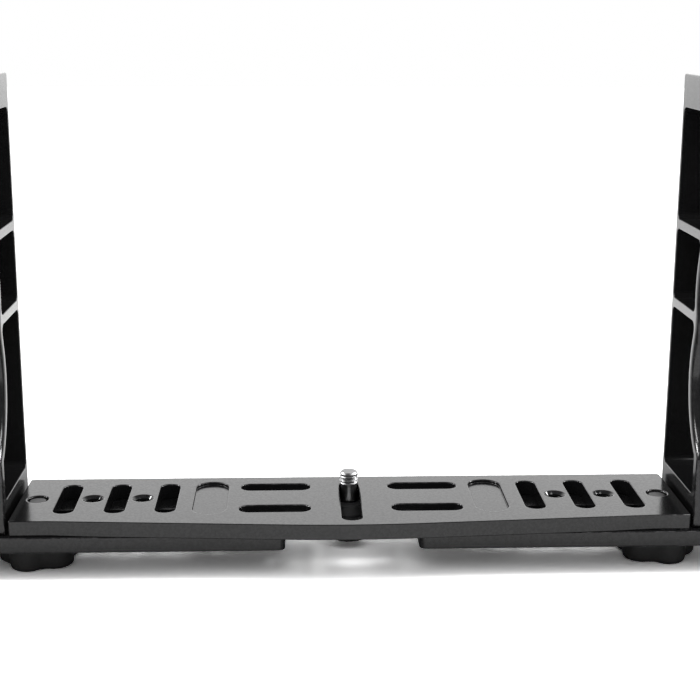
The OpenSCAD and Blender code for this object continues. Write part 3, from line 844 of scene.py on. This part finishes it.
def makeKnobs():
    # A five-lobed wave round the axis less a wave twice as fast, which narrows its valleys,
    # rounded at both rims; a raised hub on top, and below it a hexagon pocket that holds the
    # bolt's head. The rings run once round the section and close
    around = knob["around"]
    angle = 2 * math.pi * np.arange(around) / around
    lobes = knob["lobes"] * angle
    lobed = knob["radius"] + knob["wave"] * np.cos(lobes) - knob["valley"] * np.cos(2 * lobes)
    pocket = hexagonRadius(knob["pocketFlats"], around)
    quarter = np.linspace(0, math.pi / 2, knob["rimSteps"] + 1)
    rim, top, hubTop = knob["rounding"], knob["height"], nodeBox("right_knob")[1][2]
    bore, hub, soft = knob["boreRadius"], knob["hubRadius"], knob["edge"]
    floor, flatEdge = knob["pocketDepth"], lobed - rim - knob["strip"]
    heights, radii, wear = [], [], []

    def ring(height, radius, worn=0.0):
        # One more ring of the section
        heights.append(height)
        radii.append(np.broadcast_to(radius, around))
        wear.append(worn)

    def turned(a, start, way):
        # A rim's ring at an angle of its quarter circle, from a face up or down
        ring(start + way * rim * (1 - math.cos(a)), lobed - rim * (1 - math.sin(a)),
             knob["rimWear"] * math.sin(2 * a))

    ring(floor, bore)
    ring(floor, pocket)
    ring(soft, pocket)
    ring(0, pocket + soft, knob["pocketWear"])
    ring(0, flatEdge)
    for a in quarter:
        turned(a, 0, 1)
    for a in quarter[::-1]:
        turned(a, top, -1)
    ring(top, flatEdge)
    ring(top, hub + knob["hubStrip"])
    ring(top + soft, hub)
    ring(hubTop - soft, hub)
    ring(hubTop, hub - soft)
    ring(hubTop, bore + soft)
    ring(hubTop - soft, bore)
    ring(floor, bore)
    rings = turnedRings(studPlace, heights, np.array(radii), knob["turn"], around)
    body = Surface()
    body.grid(rings, np.array(wear)[:, None])
    body.buildPair("Knob", finishes["knob"], "_knob", "_knob", "knob_black_plastic")


def makeBolts():
    # A hexagon head with a turned crown, and a threaded shank with a chamfered point
    low, high = (box[2] for box in nodeBox("right_knob_bolt"))
    flats = hexagonRadius(bolt["flats"])
    headTop = low + bolt["headHeight"]
    slope = math.tan(math.radians(bolt["crownAngle"]))
    crown = np.linspace(0, bolt["crownWidth"], bolt["crownSteps"] + 1)
    crownRadii = bolt["flats"] / 2 - bolt["crownInside"] + crown
    radius = bolt["radius"]
    levels, threads = threadedEnd(bolt, headTop, high, radius - bolt["shankCut"])
    heights = np.concatenate([low + slope * crown, [headTop, headTop], levels])
    radii = np.concatenate([
        np.minimum(flats, crownRadii[:, None]), flats[None], plainRows([radius]), threads
    ])
    body = turnedSolid(studPlace, heights, radii, knob["turn"])
    body.buildPair("KnobBolt", finishes["bolt"], "_knob", "_knob_bolt", "black_oxide_steel")


def washerSurface(centre, box, edge):
    # A rectangle of radius and height with soft corners, turned once round the axis
    (left, _, low), (right, _, high) = box
    section = softBox(tray["studRadius"], (right - left) / 2, low, high, edge,
                      meshing["edgeSteps"])
    section = np.concatenate([section, section[:1]])
    body = Surface()
    body.grid(turnedRings(centre, section[:, 1], section[:, 0]))
    return body


makeKnobs()
makeBolts()
knobWasher = washerSurface(studPlace, nodeBox("right_knob_washer"), bolt["washerEdge"])
knobWasher.buildPair("KnobWasher", finishes["washer"], "_washer", "_knob_washer",
                     "stainless_washer")

# Countersunk screws that hold the handles
handleScrew = {
    "headRadius": 4.8, "radius": 2.5, "threadDepth": 0.45, "socketFlats": 3.0, "socketDepth": 2.2,
    "socketEdge": 0.15, "point": 0.5, "rim": 0.12,
}


def handleScrewSurface(node, place):
    # From the socket's floor out over the flat head, up its cone, along the thread to the point
    low, high = (box[2] for box in nodeBox(node))
    radius, head, rim = (handleScrew[key] for key in ("radius", "headRadius", "rim"))
    edge, socket = handleScrew["socketEdge"], hexagonRadius(handleScrew["socketFlats"])
    levels, threads = threadedEnd(handleScrew, low + head - radius, high, radius,
                                  thread["finePitch"])
    heights = np.concatenate([
        [low + handleScrew["socketDepth"], low + edge, low, low, low + rim], levels
    ])
    radii = np.concatenate([
        [socket, socket, socket + edge], plainRows([head - rim, head - rim / 2]), threads
    ])
    return turnedSolid(place, heights, radii)


for side, mirrored in sides.items():
    for name, place in zip(("Front", "Rear"), screwPlaces):
        node = side + "_handle_screw_" + name.lower()
        screw = handleScrewSurface(node, place)
        screw.build(side + "HandleScrew" + name, finishes["handleScrew"], side + "_arm", node,
                    "black_oxide_steel", mirrored)

# Camera screw
cameraScrew = {
    "radius": 3.175, "threadDepth": 0.7, "shankRadius": 2.6, "point": 0.6,
    "threadStart": 0.5, "threadRise": 0.3, "threadInset": 0.15,
    "knurlHeight": 8.2, "flutes": 36, "fluteSteps": 8, "fluteDepth": 0.35, "fluteShape": 0.8,
    "crestWear": 3, "chamfer": 0.6, "chamferSteps": 4, "neckRadius": 5.0, "neckEdge": 0.25,
    "neckFoot": 0.3, "socketRadius": 2.62, "socketFloor": 1.5, "socketEdge": 0.2,
    "washerEdge": 0.2,
}
screwPlace = (0.0, depthY(tray["screwDepth"]))


def makeCameraScrew():
    # An undercut shank below the thread, so that the washer can't fall off
    low, high = (box[2] for box in nodeBox("camera_screw_shank"))
    start = trayHigh[2] + cameraScrew["threadStart"]
    levels, threads = threadedEnd(cameraScrew, start + cameraScrew["threadRise"], high,
                                  cameraScrew["radius"] - cameraScrew["threadInset"])
    radii = np.concatenate([plainRows([cameraScrew["shankRadius"]] * 2), threads])
    body = turnedSolid(screwPlace, np.concatenate([[low, start], levels]), radii)
    body.build("cameraScrewShank", finishes["cameraScrew"], "camera_screw", "camera_screw_shank",
               "camera_screw_steel")


def makeCameraScrewHead():
    # Fluted wall: radius less the flute depth times a folded wave round the axis, cut by a cone at
    # both rims, then a neck with a blind socket for the shank
    (left, _, low), (right, _, high) = nodeBox("camera_screw_head")
    radius, knurlTop = (right - left) / 2, low + cameraScrew["knurlHeight"]
    around = cameraScrew["fluteSteps"] * cameraScrew["flutes"]
    wave = np.abs(2 * (np.arange(around) * cameraScrew["flutes"] / around % 1) - 1)
    fluted = radius - cameraScrew["fluteDepth"] * (1 - wave) ** cameraScrew["fluteShape"]
    steps, chamfer = cameraScrew["chamferSteps"], cameraScrew["chamfer"]
    cone = np.linspace(0, chamfer, steps + 1)
    neck, socket = cameraScrew["neckRadius"], cameraScrew["socketRadius"]
    foot, soft, edge = (cameraScrew[key] for key in ("neckFoot", "neckEdge", "socketEdge"))
    heights = np.concatenate([
        low + cone, knurlTop - cone[::-1],
        [knurlTop, knurlTop + foot, high - soft, high, high, high - edge,
         low + cameraScrew["socketFloor"]]
    ])
    flutedCone = np.minimum(fluted, (radius - chamfer + cone)[:, None])
    plain = [neck + foot, neck, neck, neck - soft, socket + edge, socket, socket]
    radii = np.concatenate([flutedCone, flutedCone[::-1], plainRows(plain, around)])
    wear = np.zeros((len(heights), around))
    wear[1:2 * steps + 1] = wave ** cameraScrew["crestWear"]
    body = turnedSolid(screwPlace, heights, radii, around=around, wear=wear)
    body.build("cameraScrewHead", finishes["cameraHead"], "camera_screw", "camera_screw_head",
               "camera_head_black")


makeCameraScrew()
makeCameraScrewHead()
cameraWasher = washerSurface(screwPlace, nodeBox("camera_screw_washer"),
                             cameraScrew["washerEdge"])
cameraWasher.build("cameraScrewWasher", finishes["nylon"], "camera_washer", "camera_screw_washer",
                   "nylon_black")

# Studio
studio = {
    "place": (-0.0172747, -0.429695, 0.173050),  # camera, in metres
    "yaw": 0.0395788, "pitch": 0.2352350, "roll": 0.0031954,  # radians
    "lens": 72.165, "sensor": 36.0, "nearClip": 0.01,
    "floorSize": 6.0, "floorColour": 0.9, "floorRoughness": 0.7,
    "floorShown": 2.1,  # the floor's colour to the camera
    # painted shade: the floor's colour in gloss is dimmed close to the object, where its shadow
    # falls, and far to its sides
    "floorBehind": 1.35, "floorInFront": 0.95, "floorPaintedShade": 0.18,  # the floor in reflections
    "shadeBehindFade": (0.05, 0.17), "shadeInFrontFade": (-0.06, -0.035),  # metres to the back
    "shadeAsideFade": (0.18, 0.34),  # metres to the side
    "floorSpread": 0.4,  # how much wider the bright floor grows for each metre to the back
    "worldLight": 0.45,  # on the object
    "backdropHalf": (0.5, 0.8),  # sideways share of a direction over which the backdrop ends
    "backdropTop": (0.5, 0.8),  # the same upwards
    "backdropStart": (-0.1, 0.25),  # the same from the side to the back
    "backdropLight": 1.3,
    "darkStudio": 0.17,  # strength of the rest of the room in reflections
    "lamps": {  # place in metres, width and height, power in watts
        "leftBox": ((-0.68, -0.16, 0.54), (0.18, 0.35), 2.6),
        "rightBox": ((0.68, -0.16, 0.54), (0.18, 0.35), 2.6),
        "leftRear": ((-0.62, 0.25, 0.45), (0.2, 0.2), 3.6),
        "rightRear": ((0.62, 0.25, 0.45), (0.2, 0.2), 3.6),
        "topBox": ((0.46, -0.25, 0.85), (0.3, 0.2), 1.2),
    },
    "glintLamps": ("leftRear", "rightRear"),  # seen in gloss only
    "target": (0.0, 0.0, 0.05),
    "sunLight": 1.2, "sunAngle": 60.0, "sunTilt": (28.0, -12.0),
}


def makeCamera():
    # The view is turned by yaw about Z, tipped down by pitch and rolled about its own axis
    yaw, pitch, roll = (studio[key] for key in ("yaw", "pitch", "roll"))
    forward = np.array([math.sin(yaw) * math.cos(pitch), math.cos(yaw) * math.cos(pitch),
                        -math.sin(pitch)])
    level = np.array([math.cos(yaw), -math.sin(yaw), 0])
    upright = np.cross(level, forward)
    right = level * math.cos(roll) + upright * math.sin(roll)
    up = upright * math.cos(roll) - level * math.sin(roll)
    data = bpy.data.cameras.new("camera")
    data.lens = studio["lens"]
    data.sensor_width = studio["sensor"]
    data.clip_start = studio["nearClip"]
    camera = bpy.data.objects.new("camera", data)
    bpy.context.collection.objects.link(camera)
    turn = Matrix(np.stack([right, up, -forward], axis=1).tolist())
    camera.matrix_world = Matrix.Translation(studio["place"]) @ turn.to_4x4()
    bpy.context.scene.camera = camera


def shownRays(tree):
    # One for rays from the camera, off gloss or through glass, nought for those that light things
    path = addNode(tree, "ShaderNodeLightPath", {}).outputs
    shown = mathNode(tree, "MAXIMUM", path["Is Camera Ray"], path["Is Glossy Ray"])
    return mathNode(tree, "MAXIMUM", shown, path["Is Transmission Ray"])


def makeFloor():
    # A pale square. To the camera it is white. In gloss its colour carries painted shade: bright
    # behind and in front of the object, by smooth steps along Y, painted dim in a strip close to it
    # where its shadow falls, and painted dim far out beside it, by one along X, where the room
    # stands unlit
    half = studio["floorSize"] / 2
    mesh = bpy.data.meshes.new("floor")
    mesh.from_pydata([(-half, -half, 0), (half, -half, 0), (half, half, 0), (-half, half, 0)], [],
                     [(0, 1, 2, 3)])
    floor = bpy.data.objects.new("floor", mesh)
    bpy.context.collection.objects.link(floor)
    material = bpy.data.materials.new("paleFloorPaintedShade")
    material.use_nodes = True
    tree = material.node_tree
    place = addNode(tree, "ShaderNodeSeparateXYZ", {"Vector": objectPlace(tree)}).outputs
    spread = mathNode(tree, "MULTIPLY", place["Y"], studio["floorSpread"])
    aside = mathNode(tree, "SUBTRACT", mathNode(tree, "ABSOLUTE", place["X"]), spread)
    # Painted shade: in gloss the floor's colour drops to a dim value close to the object along Y,
    # for its shadow, and far out to the sides, for the unlit room
    beside = studio["floorPaintedShade"]
    behind = smoothRange(tree, place["Y"], studio["shadeBehindFade"], (beside, studio["floorBehind"]))
    inFront = smoothRange(tree, place["Y"], studio["shadeInFrontFade"], (studio["floorInFront"], beside))
    middle = smoothRange(tree, aside, studio["shadeAsideFade"], (1, beside))
    reflectedWithShade = mathNode(tree, "MULTIPLY", mathNode(tree, "MAXIMUM", behind, inFront), middle)
    camera = addNode(tree, "ShaderNodeLightPath", {}).outputs["Is Camera Ray"]
    direct = mathNode(tree, "MULTIPLY", camera, studio["floorShown"])
    shown = mathNode(tree, "MAXIMUM", reflectedWithShade, direct)
    plain = (*[studio["floorColour"]] * 3, 1)
    fillInputs(tree, tree.nodes["Principled BSDF"], {
        "Base Color": mixColours(tree, shownRays(tree), plain, shown),
        "Roughness": studio["floorRoughness"], "Specular IOR Level": 0.0,
    })
    mesh.materials.append(material)


def makeWorld():
    # White to the camera. In reflections a white backdrop stands behind the object, dimmer at the
    # sides, above and in front: its three shares multiplied. Everything else gets an even light
    world = bpy.data.worlds.new("studioWorld")
    bpy.context.scene.world = world
    world.use_nodes = True
    tree = world.node_tree
    toSky = addNode(tree, "ShaderNodeTexCoord", {}).outputs["Generated"]
    direction = addNode(tree, "ShaderNodeSeparateXYZ", {"Vector": toSky}).outputs
    sideways = mathNode(tree, "ABSOLUTE", direction["X"])
    across = smoothRange(tree, sideways, studio["backdropHalf"], (1, 0))
    upwards = smoothRange(tree, direction["Z"], studio["backdropTop"], (1, 0))
    behind = smoothRange(tree, direction["Y"], studio["backdropStart"], (0, 1))
    backdrop = mathNode(tree, "MULTIPLY", mathNode(tree, "MULTIPLY", across, upwards), behind)
    room = smoothRange(tree, backdrop, (0, 1), (studio["darkStudio"], studio["backdropLight"]))
    camera = addNode(tree, "ShaderNodeLightPath", {}).outputs["Is Camera Ray"]
    room = mathNode(tree, "MULTIPLY", room, mathNode(tree, "SUBTRACT", 1.0, camera))
    white = (1, 1, 1, 1)
    seen, light = tree.nodes["Background"], tree.nodes.new("ShaderNodeBackground")
    fillInputs(tree, seen, {"Color": white, "Strength": mathNode(tree, "ADD", room, camera)})
    fillInputs(tree, light, {"Color": white, "Strength": studio["worldLight"]})
    mix = addNode(tree, "ShaderNodeMixShader", {
        "Fac": shownRays(tree), 1: light.outputs["Background"], 2: seen.outputs["Background"],
    })
    fillInputs(tree, tree.nodes["World Output"], {"Surface": mix.outputs["Shader"]})


def makeLamps():
    # Soft boxes that face the object, seen in its gloss but not by the camera, and a wide sun for
    # the shadow, which the gloss doesn't show
    for name, (place, size, power) in studio["lamps"].items():
        data = bpy.data.lights.new(name, "AREA")
        data.shape = "RECTANGLE"
        data.size, data.size_y = size
        data.energy = power
        lamp = bpy.data.objects.new(name, data)
        lamp.location = place
        aim = Vector(studio["target"]) - Vector(place)
        lamp.rotation_euler = aim.to_track_quat("-Z", "Y").to_euler()
        lamp.visible_camera = False
        lamp.visible_diffuse = name not in studio["glintLamps"]
        bpy.context.collection.objects.link(lamp)
    data = bpy.data.lights.new("softSun", "SUN")
    data.energy = studio["sunLight"]
    data.angle = math.radians(studio["sunAngle"])
    sun = bpy.data.objects.new("softSun", data)
    sun.rotation_euler = [math.radians(angle) for angle in (*studio["sunTilt"], 0.0)]
    sun.visible_glossy = False
    bpy.context.collection.objects.link(sun)


makeCamera()
makeFloor()
makeWorld()
makeLamps()
bpy.context.scene.view_settings.view_transform = "Standard"
print("studio made")
